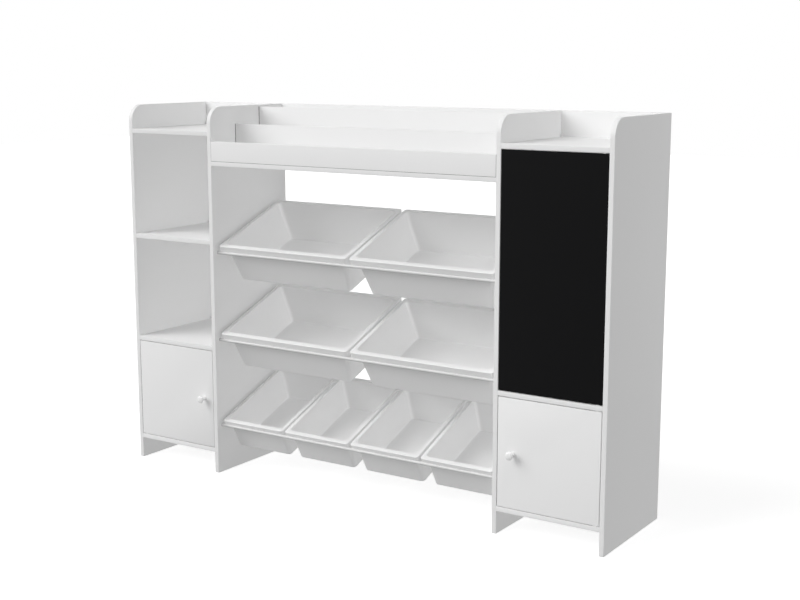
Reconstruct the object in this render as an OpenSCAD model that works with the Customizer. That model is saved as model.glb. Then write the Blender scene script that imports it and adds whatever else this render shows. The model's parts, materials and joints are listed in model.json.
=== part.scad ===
// Children's bookshelf and toy organiser, in millimetres.
// Two side towers with shelves and cupboards stand either side of a book display
// that sits over three rows of lift-out bins on sloping rails.
// The origin is on the floor, in the middle of the width and of the whole depth.

/* [Boards] */
// Thickness of every board, panel and door
board_t = 12; // [10:1:18]
// Depth of the upright panels, front to back
body_d = 316; // [290:2:360]
// Clear width inside each side tower
tower_w = 270; // [240:2:340]
// Clear width of the middle bay between the two dividers
middle_w = 862; // [760:2:960]
// Radius of the rounded top front corner of each upright panel
corner_r = 43; // [20:1:60]

/* [Heights in the towers] */
// Open height from the floor to the underside of the bottom shelves
foot_h = 57.5; // [40:0.5:90]
// Clear height of the cupboards at the bottom
cupboard_h = 273.5; // [240:0.5:320]
// Clear height of the bay above the cupboard
lower_bay_h = 278.5; // [240:0.5:320]
// Clear height of the bay under the tray shelf
upper_bay_h = 278; // [240:0.5:320]
// Height of the side and back walls above the tray shelf
tray_wall_h = 64.5; // [50:0.5:90]

/* [Book display] */
// Distance from the top face of the display floor to the top of the panels
display_h = 142.5; // [110:0.5:180]
// Height of the front lip above the display floor
lip_h = 52; // [30:1:70]
// Height of the front step board above the display floor
front_step_h = 94.5; // [75:0.5:105]
// Height of the rear step board above the display floor
rear_step_h = 137.5; // [108:0.5:142]

/* [Rails] */
// Outside diameter of the rail tubes
rail_d = 9; // [8:0.2:14]
// Wall thickness of the rail tubes
rail_wall = 1.2; // [0.8:0.1:1.8]
// Distance of the front rails' axis behind the front edges
rail_front_in = 19; // [16:0.5:26]
// Distance of the back rails' axis before the rear edges
rail_back_in = 36; // [30:0.5:50]
// How much higher each back rail sits than its front rail
rail_rise = 101; // [70:1:115]
// Height of the lowest front rail's axis above the floor
low_rail_z = 133.7; // [125:0.1:160]
// Height from one row of rails to the next
row_pitch = 239; // [225:1:255]

/* [Bins] */
// Side clearance round each large bin
large_gap = 8.7; // [5:0.1:14]
// Side clearance round each small bin
small_gap = 7.6; // [4:0.1:12]
// Depth of a large bin below its rim
large_depth = 112; // [90:1:118]
// Depth of a small bin below its rim
small_depth = 94.5; // [75:0.5:102]
// Height of a large bin's turned-down rim
large_skirt_h = 15.4; // [10:0.1:20]
// Height of a small bin's turned-down rim
small_skirt_h = 11; // [7:0.1:15]
// Width of a large bin's rim
large_rim_w = 10; // [8:0.5:13]
// Width of a small bin's rim
small_rim_w = 8; // [7:0.5:11]
// How much wider a bin's rim is at its front and back than at its sides
rim_end_extra = 3; // [0:0.5:6]
// How much a large bin's sides lean in from rim to floor
large_side_draft = 18; // [8:0.5:24]
// How much a small bin's sides lean in from rim to floor
small_side_draft = 3.5; // [2:0.5:10]
// How much the front and back walls of a bin lean in from rim to floor
end_draft = 9; // [5:0.5:14]
// Wall thickness of the bins
bin_wall = 2; // [1.6:0.1:3]
// Corner radius of the bin walls
bin_corner_r = 8; // [7:0.5:14]
// Radius between the walls and the floor of a bin
bin_floor_r = 4; // [3:0.5:5]

/* [Doors] */
// Gap round each door
door_gap = 2; // [1.6:0.1:3]
// Diameter of the pivot pins in the doors
pin_d = 5; // [4:0.5:6]
// Distance of the left knob's axis from the free edge of its door
left_knob_in = 29; // [20:1:60]
// Distance of the right knob's axis from the free edge of its door
right_knob_in = 41; // [20:1:60]
// Diameter of a knob's head
knob_d = 22; // [16:0.5:30]
// Diameter of a knob where it meets the door
knob_neck_d = 11; // [8:0.5:14]
// How far a knob stands out from the door
knob_out = 24; // [16:0.5:30]

/* [Fittings] */
// Distance of the cam fittings from the front and rear edges of a shelf
fitting_in = 50; // [40:1:70]
// Distance of the cams from the end of a shelf
cam_in = 24; // [20:0.5:34]
// Diameter of a cam
cam_d = 12; // [10:0.5:15]
// Diameter of the wooden dowels
dowel_d = 6; // [5:0.5:8]
// Length of the magnetic catches
catch_l = 44; // [40:1:60]
// Height of the magnetic catches and of the push latch
catch_h = 14; // [12:0.5:18]
// Length of the push latch
latch_l = 60; // [50:1:80]
// Distance between the two wall anchor holes
anchor_span = 600; // [400:10:700]

/* [Hidden] */
$fn = 48;

// A cut runs this far past the face it opens
past = 1;
white = [0.93, 0.93, 0.93];
plastic_white = [0.96, 0.96, 0.96];
chalk_black = [0.08, 0.08, 0.08];
zinc = [0.7, 0.71, 0.73];
beech = [0.82, 0.67, 0.47];

// Places across the width
middle_x = middle_w / 2;
side_x = middle_x + board_t + tower_w;
body_w = 2 * (side_x + board_t);
// Places through the depth: the knobs count in the whole depth
front_y = -(body_d + knob_out) / 2 + knob_out;
rear_y = front_y + body_d;
back_board_y = rear_y - board_t;
shelf_d = body_d - board_t;
// Places up the height
bottom_z = foot_h;
lower_z = bottom_z + board_t + cupboard_h;
upper_z = lower_z + board_t + lower_bay_h;
tray_z = upper_z + board_t + upper_bay_h;
body_h = tray_z + board_t + tray_wall_h;
display_z = body_h - display_h - board_t;
display_top = display_z + board_t;
tower_levels = [bottom_z, lower_z, upper_z, tray_z];
bay_middles = [bottom_z + board_t + cupboard_h / 2, lower_z + board_t + lower_bay_h / 2,
               upper_z + board_t + upper_bay_h / 2];

// The book display has three slots of equal width
slot_w = (shelf_d - 3 * board_t) / 3;
front_step_y = front_y + board_t + slot_w;
rear_step_y = front_step_y + board_t + slot_w;

// The two rails of a row set the slope of its bins
rail_y = [front_y + rail_front_in, rear_y - rail_back_in];
rail_run = rail_y[1] - rail_y[0];
slope = atan(rail_rise / rail_run);
rail_span = norm([rail_run, rail_rise]);
rail_r = rail_d / 2;
rail_bore_r = rail_r - rail_wall;
rows = [0, 1, 2];
function rail_z(row, back) = low_rail_z + row * row_pitch + (back ? rail_rise : 0);

// Bins: the rim rests on both rails
seat_gap = 0.3;
rim_l = rail_span + bin_wall;
large_w = (middle_w - 3 * large_gap) / 2;
small_w = (middle_w - 5 * small_gap) / 4;
rim_t = 2.4;
rim_corner_r = 8;

// Doors turn on pins at their hinge edge, far enough in for the corner to clear the panel
pivot_spare = 3;
pivot_in = pow(board_t / 2, 2) / (2 * door_gap) + pivot_spare;
pin_clear = 0.05;
pin_in_door = 12;
bush_wall = 1.5;
bush_l = board_t * 0.42;
bush_flange_t = door_gap - 0.3;
bush_flange_w = 0.8;
pin_out = door_gap + bush_l - 0.4;
door_w = tower_w - 2 * door_gap;
// The shelf behind the tall door stays clear of the corner that swings past it
inner_set_back = board_t / 2 + norm([pivot_in, board_t / 2]) + door_gap;
left_pivot_x = -side_x + door_gap + pivot_in;
right_pivot_x = side_x - door_gap - pivot_in;
door_mid_y = front_y + board_t / 2;
door_back_y = front_y + board_t;
// Each door: side (-1 hinged left, 1 hinged right), underside and height of its opening
left_opening = [-1, bottom_z + board_t, cupboard_h];
right_opening = [1, bottom_z + board_t, cupboard_h];
chalk_opening = [1, lower_z + board_t, tray_z - lower_z - board_t];
openings = [left_opening, right_opening, chalk_opening];
function pivot_x(side) = side < 0 ? left_pivot_x : right_pivot_x;
function free_x(side) = side < 0 ? -middle_x - board_t - door_gap : middle_x + board_t + door_gap;
function knob_x(side) = free_x(side) + side * (side < 0 ? left_knob_in : right_knob_in);

// Knob screw
knob_screw_d = 4;
knob_screw_grip = 10;
knob_screw_head_d = 8;
knob_screw_head_h = 2.6;
knob_dome_r = 26;

// Catches: a steel plate on the door meets a magnet case under the shelf
strike_t = 1.2;
strike_l = 36;
strike_h = 9;
strike_pin_d = 3;
strike_pin_l = 8;
catch_w = 13;
catch_in = 42;
catch_front_y = door_back_y + strike_t + seat_gap;
catch_screw_d = 3;
catch_screw_head_d = 6;
catch_screw_head_h = 2;
catch_screw_inset = 6;
catch_screw_side = catch_l / 2 - catch_screw_inset;
catch_screw_grip = 7;
latch_w = 15;
latch_ear_w = 9;
latch_ear_t = 3;
plunger_d = 8;
plunger_clear = 0.15;
plunger_l = 26;
plunger_out = 4;
plunger_travel = 3;
plunger_nose = 1;
latch_front_y = catch_front_y + plunger_out;

// Cam fittings and dowels
cam_ys = [front_y + fitting_in, front_y + shelf_d - fitting_in];
cam_h = board_t * 0.78;
cam_clear = 0.1;
cam_slot = [1.4, 6, 1.5];
bolt_thread_d = 5;
bolt_thread_l = board_t * 0.65;
bolt_shank_d = 4;
bolt_head_d = 5.4;
bolt_head_l = 3;
bolt_bore_d = 6;
dowel_in_panel = board_t * 0.6;
dowel_in_board = 16;
dowel_spare = 0.5;
shelf_dowel_y = front_y + shelf_d / 2;
edge_dowel_in = 18;

// Screws through one board into the edge of the next
screw_d = 3.6;
screw_hole_d = 4;
screw_head_d = 8;
screw_head_h = 2.6;
screw_grip = 18;
back_screw_in = 40;
display_screw_xs = [for (i = [-1.5:1:1.5]) i * (middle_w - 2 * back_screw_in) / 3];
step_screw_xs = [for (i = [-1:1]) i * (middle_w - 2 * back_screw_in) / 2];
step_mid_ys = [front_y + board_t / 2, front_step_y + board_t / 2, rear_step_y + board_t / 2];

// Rail bolts
rail_bolt_d = 4;
rail_bolt_hole_d = 4.6;
rail_bolt_grip = 15;
rail_bolt_head_d = 8;
rail_bolt_head_h = 2.4;
insert_l = 20;

// Wall anchor holes in the back of the display
anchor_hole_d = 3;
anchor_hole_l = 9;
anchor_drop = 25;

// Cross recess of the screws
recess = [1, 3.6, 1.2];

// One board from its lowest corner and size
module board(corner, size) {
    color(white) translate(corner) cube(size);
}

// A screw along +Z: its head's top is at z = 0 and it points down
module screw(d, head_d, head_h, length, countersunk = true) {
    color(zinc) difference() {
        union() {
            translate([0, 0, -length]) cylinder(d = d, h = length);
            translate([0, 0, -head_h])
                cylinder(d1 = countersunk ? d : head_d, d2 = head_d, h = head_h);
        }
        for (turn = [0, 90])
            rotate([0, 0, turn]) translate([-recess[0] / 2, -recess[1] / 2, -recess[2]])
                cube([recess[0], recess[1], recess[2] + past]);
    }
}

// The hole for such a screw: a clear hole through the first board, a tight one after it
module screw_hole(through) {
    translate([0, 0, -screw_head_h]) cylinder(d1 = screw_d, d2 = screw_head_d, h = screw_head_h);
    translate([0, 0, -through]) cylinder(d = screw_hole_d, h = through - screw_head_h / 2);
    translate([0, 0, -through - screw_grip]) cylinder(d = screw_d, h = through + screw_grip);
}

module board_screw() {
    screw(screw_d, screw_head_d, screw_head_h, board_t + screw_grip);
}

// Places of the screws that come from behind into the shelves of one tower
module tower_back_screws(side) {
    for (z = tower_levels, x = [back_screw_in, tower_w - back_screw_in])
        translate([side * (middle_x + board_t + x), rear_y, z + board_t / 2]) rotate([-90, 0, 0]) children();
}

module display_back_screws() {
    for (x = display_screw_xs)
        translate([x, rear_y, display_z + board_t / 2]) rotate([-90, 0, 0]) children();
}

// Places of the screws that come up through the display floor
module display_step_screws(ys) {
    for (x = step_screw_xs, y = ys) translate([x, y, display_z]) rotate([180, 0, 0]) children();
}

// Places of the cams on one board: x runs into the board from the panel that it meets
module cam_places(x_low, x_high, z) {
    for (y = cam_ys) {
        translate([x_low, y, z + board_t / 2]) children();
        translate([x_high, y, z + board_t / 2]) mirror([1, 0, 0]) children();
    }
}

module dowel_places(x_low, x_high, ys_zs) {
    for (p = ys_zs) {
        translate([x_low, p[0], p[1]]) children();
        translate([x_high, p[0], p[1]]) mirror([1, 0, 0]) children();
    }
}

module cam_cut() {
    rotate([0, 90, 0]) translate([0, 0, -past]) cylinder(d = bolt_bore_d, h = cam_in + past);
    translate([cam_in, 0, -board_t / 2 - past])
        cylinder(d = cam_d, h = cam_h + past);
}

module cam() {
    color(zinc) translate([cam_in, 0, -board_t / 2]) difference() {
        cylinder(d = cam_d - 2 * cam_clear, h = cam_h - cam_clear);
        translate([-cam_d, 0, board_t / 2]) rotate([0, 90, 0])
            cylinder(d = bolt_bore_d, h = cam_d + bolt_head_l / 2 + cam_clear);
        translate([-cam_slot[0] / 2, -cam_slot[1] / 2, -past])
            cube([cam_slot[0], cam_slot[1], cam_slot[2] + past]);
    }
}

module cam_bolt() {
    color(zinc) rotate([0, 90, 0]) {
        translate([0, 0, -bolt_thread_l]) cylinder(d = bolt_thread_d, h = bolt_thread_l);
        cylinder(d = bolt_shank_d, h = cam_in);
        translate([0, 0, cam_in - bolt_head_l / 2]) cylinder(d = bolt_head_d, h = bolt_head_l);
    }
}

module cam_bolt_hole() {
    rotate([0, 90, 0]) translate([0, 0, -bolt_thread_l - dowel_spare])
        cylinder(d = bolt_thread_d, h = bolt_thread_l + dowel_spare + past);
}

module dowel() {
    color(beech) rotate([0, 90, 0]) translate([0, 0, -dowel_in_panel])
        cylinder(d = dowel_d, h = dowel_in_panel + dowel_in_board);
}

// The dowel's hole in the board, and in the panel beside it
module dowel_hole() {
    rotate([0, 90, 0]) translate([0, 0, -dowel_in_panel - dowel_spare])
        cylinder(d = dowel_d, h = dowel_in_panel + dowel_in_board + 2 * dowel_spare);
}

// Dowels of each kind of board, as [y, z]
function shelf_dowels(z) = [[shelf_dowel_y, z + board_t / 2]];
back_dowels = [for (z = bay_middles) [back_board_y + board_t / 2, z]];
lip_dowels = [[step_mid_ys[0], display_top + lip_h / 2]];
front_step_dowels = [for (z = [edge_dowel_in, front_step_h - edge_dowel_in]) [step_mid_ys[1], display_top + z]];
rear_step_dowels = [for (z = [edge_dowel_in, rear_step_h - edge_dowel_in]) [step_mid_ys[2], display_top + z]];
display_back_dowels = [for (z = [display_top + edge_dowel_in, body_h - edge_dowel_in])
                       [back_board_y + board_t / 2, z]];
tower_dowels = concat([for (z = tower_levels) each shelf_dowels(z)], back_dowels);
display_dowels = concat(shelf_dowels(display_z), lip_dowels, front_step_dowels, rear_step_dowels,
                        display_back_dowels);

// Places of the rails' ends, with x running into the middle bay
module rail_ends() {
    for (row = rows, back = [0, 1], side = [-1, 1])
        translate([side * middle_x, rail_y[back], rail_z(row, back == 1)])
            rotate([0, -side * 90, 0]) children();
}

// Holes that one tower drills in the panel at x, where dir points from the panel into the tower
module tower_drilling(x, dir) {
    translate([x, 0, 0]) mirror([dir < 0 ? 1 : 0, 0, 0]) {
        for (y = cam_ys, z = tower_levels) translate([0, y, z + board_t / 2]) cam_bolt_hole();
        for (p = tower_dowels) translate([0, p[0], p[1]]) dowel_hole();
    }
}

module middle_drilling(x, dir) {
    translate([x, 0, 0]) mirror([dir < 0 ? 1 : 0, 0, 0]) {
        for (y = cam_ys) translate([0, y, display_z + board_t / 2]) cam_bolt_hole();
        for (p = display_dowels) translate([0, p[0], p[1]]) dowel_hole();
        for (row = rows, back = [0, 1]) translate([-board_t, rail_y[back], rail_z(row, back == 1)])
            rotate([0, 90, 0]) {
                translate([0, 0, -past]) cylinder(d = rail_bolt_hole_d, h = board_t + 2 * past);
                cylinder(d1 = rail_bolt_head_d, d2 = rail_bolt_d, h = rail_bolt_head_h);
            }
    }
}

// One upright panel with its rounded top front corner, from x to x + board_t
module panel_blank(x) {
    translate([x, front_y, 0]) {
        cube([board_t, body_d, body_h - corner_r]);
        translate([0, corner_r, 0]) cube([board_t, body_d - corner_r, body_h]);
        translate([0, corner_r, body_h - corner_r]) rotate([0, 90, 0]) cylinder(r = corner_r, h = board_t);
    }
}

module side_panel_left() {
    color(white) difference() {
        panel_blank(-side_x - board_t);
        tower_drilling(-side_x, 1);
    }
}

module divider_left() {
    color(white) difference() {
        panel_blank(-middle_x - board_t);
        tower_drilling(-middle_x - board_t, -1);
        middle_drilling(-middle_x, 1);
    }
}

module divider_right() {
    color(white) difference() {
        panel_blank(middle_x);
        tower_drilling(middle_x + board_t, 1);
        middle_drilling(middle_x, -1);
    }
}

module side_panel_right() {
    color(white) difference() {
        panel_blank(side_x);
        tower_drilling(side_x, -1);
    }
}

// One tower shelf; set_back keeps it behind a door
module tower_shelf(side, z, set_back = 0) {
    x_low = side < 0 ? -side_x : middle_x + board_t;
    difference() {
        board([x_low, front_y + set_back, z], [tower_w, shelf_d - set_back, board_t]);
        cam_places(x_low, x_low + tower_w, z) cam_cut();
        dowel_places(x_low, x_low + tower_w, shelf_dowels(z)) dowel_hole();
        for (x = [back_screw_in, tower_w - back_screw_in])
            translate([x_low + x, rear_y, z + board_t / 2]) rotate([-90, 0, 0]) screw_hole(board_t);
    }
}

// Seats of the pivot bushes in the underside (up = 1) or the top (up = -1) of a shelf
module bush_seat(side, z, up) {
    translate([pivot_x(side), door_mid_y, z]) rotate([up > 0 ? 0 : 180, 0, 0])
        translate([0, 0, -past]) cylinder(d = pin_d + 2 * (pin_clear + bush_wall), h = bush_l + past);
}

// Holes of the screws that hold the catches under a shelf whose underside is at z
module catch_pilots(side, z) {
    for (place = catch_screw_places(side))
        translate([place[0], place[1], z]) cylinder(d = catch_screw_d, h = catch_screw_grip);
}
module latch_pilots(side, z) {
    for (place = latch_screw_places(side))
        translate([place[0], place[1], z]) cylinder(d = catch_screw_d, h = catch_screw_grip);
}
function catch_x(side) = free_x(side) + side * catch_in;
function catch_screw_places(side) =
    [for (s = [-1, 1]) [catch_x(side) + s * catch_screw_side, catch_front_y + catch_w / 2]];
function latch_screw_places(side) =
    [for (s = [-1, 1]) [catch_x(side) + s * (latch_w + latch_ear_w) / 2, latch_front_y + latch_l / 2]];

module left_bottom_shelf() {
    difference() {
        tower_shelf(-1, bottom_z);
        bush_seat(-1, bottom_z + board_t, -1);
    }
}

module left_lower_shelf() {
    difference() {
        tower_shelf(-1, lower_z);
        bush_seat(-1, lower_z, 1);
        catch_pilots(-1, lower_z);
    }
}

module left_upper_shelf() {
    tower_shelf(-1, upper_z);
}

module left_tray_shelf() {
    tower_shelf(-1, tray_z);
}

module right_bottom_shelf() {
    difference() {
        tower_shelf(1, bottom_z);
        bush_seat(1, bottom_z + board_t, -1);
    }
}

module right_lower_shelf() {
    difference() {
        tower_shelf(1, lower_z);
        bush_seat(1, lower_z, 1);
        bush_seat(1, lower_z + board_t, -1);
        catch_pilots(1, lower_z);
    }
}

module right_inner_shelf() {
    tower_shelf(1, upper_z, inner_set_back);
}

module right_tray_shelf() {
    difference() {
        tower_shelf(1, tray_z);
        bush_seat(1, tray_z, 1);
        latch_pilots(1, tray_z);
    }
}

// The tall back board of one tower
module tower_back_board(side) {
    x_low = side < 0 ? -side_x : middle_x + board_t;
    difference() {
        board([x_low, back_board_y, bottom_z], [tower_w, board_t, body_h - bottom_z]);
        dowel_places(x_low, x_low + tower_w, back_dowels) dowel_hole();
        tower_back_screws(side) screw_hole(board_t);
    }
}

module left_back_board() {
    tower_back_board(-1);
}

module right_back_board() {
    tower_back_board(1);
}

module display_floor() {
    difference() {
        board([-middle_x, front_y, display_z], [middle_w, shelf_d, board_t]);
        cam_places(-middle_x, middle_x, display_z) cam_cut();
        dowel_places(-middle_x, middle_x, shelf_dowels(display_z)) dowel_hole();
        display_step_screws(step_mid_ys) screw_hole(board_t);
        display_back_screws() screw_hole(board_t);
    }
}

// An upright board that stands on the display floor
module display_step(y, h, dowels) {
    difference() {
        board([-middle_x, y, display_top], [middle_w, board_t, h]);
        dowel_places(-middle_x, middle_x, dowels) dowel_hole();
        display_step_screws([y + board_t / 2]) screw_hole(board_t);
    }
}

module display_lip() {
    display_step(front_y, lip_h, lip_dowels);
}

module display_front_step() {
    display_step(front_step_y, front_step_h, front_step_dowels);
}

module display_rear_step() {
    display_step(rear_step_y, rear_step_h, rear_step_dowels);
}

module display_back_board() {
    difference() {
        board([-middle_x, back_board_y, display_z], [middle_w, board_t, body_h - display_z]);
        dowel_places(-middle_x, middle_x, display_back_dowels) dowel_hole();
        display_back_screws() screw_hole(board_t);
        for (side = [-1, 1]) translate([side * anchor_span / 2, rear_y + past, body_h - anchor_drop])
            rotate([90, 0, 0]) cylinder(d = anchor_hole_d, h = anchor_hole_l + past);
    }
}

// One rail tube between the dividers
module rail(row, back) {
    color(plastic_white) translate([-middle_x, rail_y[back ? 1 : 0], rail_z(row, back)]) rotate([0, 90, 0])
        difference() {
            cylinder(r = rail_r, h = middle_w);
            translate([0, 0, -past]) cylinder(r = rail_bore_r, h = middle_w + 2 * past);
        }
}

module rail_inserts() {
    color(zinc) rail_ends() difference() {
        cylinder(r = rail_bore_r, h = insert_l);
        translate([0, 0, -past]) cylinder(d = rail_bolt_d, h = rail_bolt_grip + 2 * past);
    }
}

module rail_bolts() {
    rail_ends() translate([0, 0, -board_t]) rotate([180, 0, 0])
        screw(rail_bolt_d, rail_bolt_head_d, rail_bolt_head_h, board_t + rail_bolt_grip);
}

// A rectangle with round corners, from (0, 0)
module rounded_rect(w, l, r) {
    translate([r, 0]) square([w - 2 * r, l]);
    translate([0, r]) square([w, l - 2 * r]);
    for (x = [r, w - r], y = [r, l - r]) translate([x, y]) circle(r);
}

// The tapered body of a bin below its rim, made smaller by inset all round
module bin_body(w, rim_w, depth, side_draft, inset, rise) {
    x_top = rim_w + inset;
    x_low = x_top + side_draft;
    y_top = x_top + rim_end_extra;
    y_low = y_top + end_draft;
    r_top = bin_corner_r - inset;
    r_low = bin_floor_r - inset / 2;
    bend = r_top - bin_floor_r / 2;
    hull($fn = 32) {
        for (x = [x_top + r_top, w - x_top - r_top], y = [y_top + r_top, rim_l - y_top - r_top])
            translate([x, y, 0]) cylinder(r = r_top, h = rise);
        for (x = [x_low + bend, w - x_low - bend], y = [y_low + bend, rim_l - y_low - bend])
            translate([x, y, -depth + inset + r_low]) {
                cylinder(r = bend, h = 0.1);
                translate([0, 0, -r_low]) cylinder(r = bend - r_low, h = r_low);
            }
    }
}

// One bin in its own frame: x across, y up the slope, z square to the rim, rim top at z = 0
module bin_shape(w, rim_w, depth, skirt_h, side_draft) {
    difference() {
        union() {
            translate([0, 0, -rim_t]) linear_extrude(rim_t) rounded_rect(w, rim_l, rim_corner_r);
            translate([0, 0, -skirt_h]) linear_extrude(skirt_h) difference() {
                rounded_rect(w, rim_l, rim_corner_r);
                translate([bin_wall, bin_wall])
                    rounded_rect(w - 2 * bin_wall, rim_l - 2 * bin_wall, rim_corner_r - bin_wall);
            }
            translate([0, 0, -rim_t / 2]) bin_body(w, rim_w, depth - rim_t / 2, side_draft, 0, rim_t / 4);
        }
        bin_body(w, rim_w, depth, side_draft, bin_wall, past);
    }
}

// Puts a bin of the given skirt on the rails of a row, with its left edge at x
module on_rails(row, x, skirt_h) {
    translate([x, rail_y[0], rail_z(row, false)]) rotate([slope, 0, 0])
        translate([0, -bin_wall / 2, rail_r + seat_gap + skirt_h]) children();
}

module large_bin(row, column) {
    color(plastic_white) on_rails(row, -middle_x + large_gap + column * (large_w + large_gap), large_skirt_h)
        bin_shape(large_w, large_rim_w, large_depth, large_skirt_h, large_side_draft);
}

module small_bin(column) {
    color(plastic_white) on_rails(0, -middle_x + small_gap + column * (small_w + small_gap), small_skirt_h)
        bin_shape(small_w, small_rim_w, small_depth, small_skirt_h, small_side_draft);
}

// A door that fills an opening, with its pin holes top and bottom
module door_blank(opening, finish) {
    side = opening[0];
    x_low = side < 0 ? -side_x + door_gap : middle_x + board_t + door_gap;
    z_low = opening[1] + door_gap;
    h = opening[2] - 2 * door_gap;
    color(finish) difference() {
        translate([x_low, front_y, z_low]) cube([door_w, board_t, h]);
        translate([pivot_x(side), door_mid_y, z_low - past]) cylinder(d = pin_d, h = pin_in_door + past);
        translate([pivot_x(side), door_mid_y, z_low + h - pin_in_door])
            cylinder(d = pin_d, h = pin_in_door + past);
        translate([catch_x(side), door_back_y - strike_pin_l, opening[1] + opening[2] - catch_h / 2])
            rotate([-90, 0, 0]) cylinder(d = strike_pin_d, h = strike_pin_l + past);
    }
}

module knob_place(opening) {
    translate([knob_x(opening[0]), front_y, opening[1] + opening[2] / 2])
        rotate([90, 0, 0]) children();
}

module knob_door(opening) {
    difference() {
        door_blank(opening, white);
        knob_place(opening) translate([0, 0, -board_t - past])
            cylinder(d = knob_screw_d + 0.4, h = board_t + 2 * past);
    }
}

// The pins of a door, half in the door and half in the bushes
module door_pins(opening) {
    color(zinc) for (up = [0, 1])
        translate([pivot_x(opening[0]), door_mid_y,
                   up == 1 ? opening[1] + opening[2] - door_gap - pin_in_door : opening[1] + door_gap - pin_out])
            cylinder(d = pin_d, h = pin_in_door + pin_out);
}

// A turned knob: a narrow neck that opens out to a domed head
module knob(opening) {
    color(plastic_white) knob_place(opening) difference() {
        intersection() {
            cylinder(d1 = knob_neck_d, d2 = knob_d, h = knob_out);
            translate([0, 0, knob_out - knob_dome_r]) sphere(knob_dome_r);
        }
        translate([0, 0, -past]) cylinder(d = knob_screw_d, h = knob_screw_grip + 2 * past);
    }
}

module knob_screw(opening) {
    knob_place(opening) translate([0, 0, -board_t - knob_screw_head_h]) rotate([180, 0, 0])
        screw(knob_screw_d, knob_screw_head_d, knob_screw_head_h,
              knob_screw_head_h + board_t + knob_screw_grip, false);
}

module strike_plate(opening) {
    color(zinc) translate([catch_x(opening[0]), door_back_y, opening[1] + opening[2] - catch_h / 2]) {
        translate([-strike_l / 2, 0, -strike_h / 2]) cube([strike_l, strike_t, strike_h]);
        translate([0, -strike_pin_l, 0]) rotate([-90, 0, 0]) cylinder(d = strike_pin_d, h = strike_pin_l);
    }
}

// A flanged bush that lines a pin's hole; its flange fills most of the gap under the door
module bush() {
    difference() {
        union() {
            cylinder(d = pin_d + 2 * (pin_clear + bush_wall), h = bush_l);
            translate([0, 0, -bush_flange_t])
                cylinder(d = pin_d + 2 * (bush_wall + bush_flange_w), h = bush_flange_t);
        }
        translate([0, 0, -bush_flange_t - past])
            cylinder(d = pin_d + 2 * pin_clear, h = bush_flange_t + bush_l + 2 * past);
    }
}

module pivot_bushes() {
    color(plastic_white) for (opening = openings) {
        translate([pivot_x(opening[0]), door_mid_y, opening[1]]) rotate([180, 0, 0]) bush();
        translate([pivot_x(opening[0]), door_mid_y, opening[1] + opening[2]]) bush();
    }
}

// A magnet case under a shelf, held by two screws from below
module catch_case(side) {
    top_z = lower_z;
    color(plastic_white) difference() {
        translate([catch_x(side) - catch_l / 2, catch_front_y, top_z - catch_h])
            cube([catch_l, catch_w, catch_h]);
        for (place = catch_screw_places(side)) translate([place[0], place[1], top_z - catch_h]) {
            translate([0, 0, -past]) cylinder(d = catch_screw_head_d + 0.4, h = catch_screw_head_h + past);
            cylinder(d = catch_screw_d + 0.4, h = catch_h + past);
        }
    }
}

// The push latch that springs the knobless door open
module push_latch_case() {
    color(plastic_white) translate([catch_x(1), latch_front_y, tray_z]) difference() {
        union() {
            translate([-latch_w / 2, 0, -catch_h]) cube([latch_w, latch_l, catch_h]);
            translate([-latch_w / 2 - latch_ear_w, latch_l / 2 - latch_ear_w / 2, -latch_ear_t])
                cube([latch_w + 2 * latch_ear_w, latch_ear_w, latch_ear_t]);
        }
        translate([0, -past, -catch_h / 2]) rotate([-90, 0, 0])
            cylinder(d = plunger_d + 2 * plunger_clear, h = plunger_l - plunger_out + plunger_travel + 2 * past);
        for (s = [-1, 1]) translate([s * (latch_w + latch_ear_w) / 2, latch_l / 2, -latch_ear_t - past])
            cylinder(d = catch_screw_d + 0.4, h = latch_ear_t + 2 * past);
    }
}

module push_latch_plunger() {
    color(chalk_black) translate([catch_x(1), catch_front_y, tray_z - catch_h / 2]) rotate([-90, 0, 0]) {
        cylinder(d1 = plunger_d * 0.7, d2 = plunger_d, h = plunger_nose);
        translate([0, 0, plunger_nose]) cylinder(d = plunger_d, h = plunger_l - plunger_nose);
    }
}

module catch_screws() {
    for (side = [-1, 1], place = catch_screw_places(side))
        translate([place[0], place[1], lower_z - catch_h + catch_screw_head_h]) rotate([180, 0, 0])
            translate([0, 0, catch_screw_head_h])
                screw(catch_screw_d, catch_screw_head_d, catch_screw_head_h, catch_h + catch_screw_grip, false);
    for (place = latch_screw_places(1))
        translate([place[0], place[1], tray_z - latch_ear_t]) rotate([180, 0, 0])
            translate([0, 0, catch_screw_head_h])
                screw(catch_screw_d, catch_screw_head_d, catch_screw_head_h,
                      catch_screw_head_h + latch_ear_t + catch_screw_grip, false);
}

// Runs its children at every cam, in the towers and at the display floor
module all_cams() {
    for (z = tower_levels) {
        cam_places(-side_x, -middle_x - board_t, z) children();
        cam_places(middle_x + board_t, side_x, z) children();
    }
    cam_places(-middle_x, middle_x, display_z) children();
}

module cams() {
    all_cams() cam();
}

module cam_bolts() {
    all_cams() cam_bolt();
}

module dowels() {
    dowel_places(-side_x, -middle_x - board_t, tower_dowels) dowel();
    dowel_places(middle_x + board_t, side_x, tower_dowels) dowel();
    dowel_places(-middle_x, middle_x, display_dowels) dowel();
}

module board_screws() {
    for (side = [-1, 1]) tower_back_screws(side) board_screw();
    display_back_screws() board_screw();
    display_step_screws(step_mid_ys) board_screw();
}

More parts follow.
